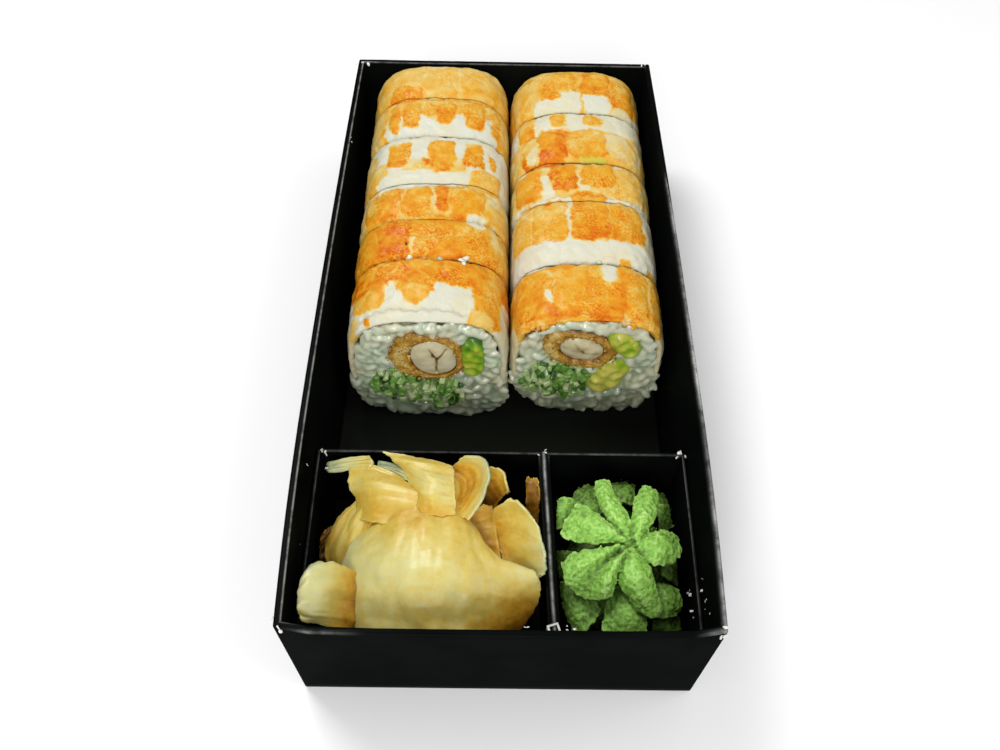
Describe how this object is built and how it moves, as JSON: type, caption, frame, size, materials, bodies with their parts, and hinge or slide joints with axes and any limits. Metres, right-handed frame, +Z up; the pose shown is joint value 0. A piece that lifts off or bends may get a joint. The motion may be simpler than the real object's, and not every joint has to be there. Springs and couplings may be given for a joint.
{
  "type": "takeaway sushi tray",
  "caption": "Open black card tray of prawn-topped sushi rolls cut into slices in two rows, with pickled ginger and a piped wasabi flower behind a folded card divider",
  "frame": {"origin": "Middle of the tray's box, on the surface that it rests on", "axes": "+Z up out of the open tray, +Y along the tray away from the ginger and wasabi, +X to the side of the wasabi"},
  "size_m": [0.103, 0.2016, 0.0458],
  "materials": {
    "black_card": "satin black coating on folded card, raw white card at the cut corners",
    "sushi_rice": "moist translucent rice grains pressed together",
    "cooked_prawn": "moist cooked prawn, orange patches on creamy white",
    "prawn_core": "cooked prawn meat, creamy white",
    "batter": "fried batter, golden brown and crumbly",
    "avocado": "ripe avocado, yellow green with a moist cut",
    "cucumber": "wet cucumber strips, green",
    "pickled_ginger": "thin translucent pickled ginger, pale yellow",
    "wasabi": "matt green horseradish paste, slightly grainy"
  },
  "bodies": {
    "root": {"tray": "black_card", "divider_insert": "black_card", "left_slice_1_rice": "sushi_rice", "left_slice_1_prawn": "cooked_prawn", "left_slice_2_rice": "sushi_rice", "left_slice_2_prawn": "cooked_prawn", "left_slice_3_rice": "sushi_rice", "left_slice_3_prawn": "cooked_prawn", "left_slice_4_rice": "sushi_rice", "left_slice_4_prawn": "cooked_prawn", "left_slice_5_rice": "sushi_rice", "left_slice_5_prawn": "cooked_prawn", "left_slice_6_rice": "sushi_rice", "left_slice_6_prawn": "cooked_prawn", "right_slice_1_rice": "sushi_rice", "right_slice_1_prawn": "cooked_prawn", "right_slice_2_rice": "sushi_rice", "right_slice_2_prawn": "cooked_prawn", "right_slice_3_rice": "sushi_rice", "right_slice_3_prawn": "cooked_prawn", "right_slice_4_rice": "sushi_rice", "right_slice_4_prawn": "cooked_prawn", "right_slice_5_rice": "sushi_rice", "right_slice_5_prawn": "cooked_prawn", "left_front_prawn_core": "prawn_core", "left_front_batter": "batter", "left_front_avocado": "avocado", "left_front_cucumber": "cucumber", "right_front_prawn_core": "prawn_core", "right_front_batter": "batter", "right_front_avocado_top": "avocado", "right_front_avocado_low": "avocado", "right_front_cucumber": "cucumber", "pickled_ginger": "pickled_ginger", "wasabi": "wasabi"}
  },
  "joints": []
}
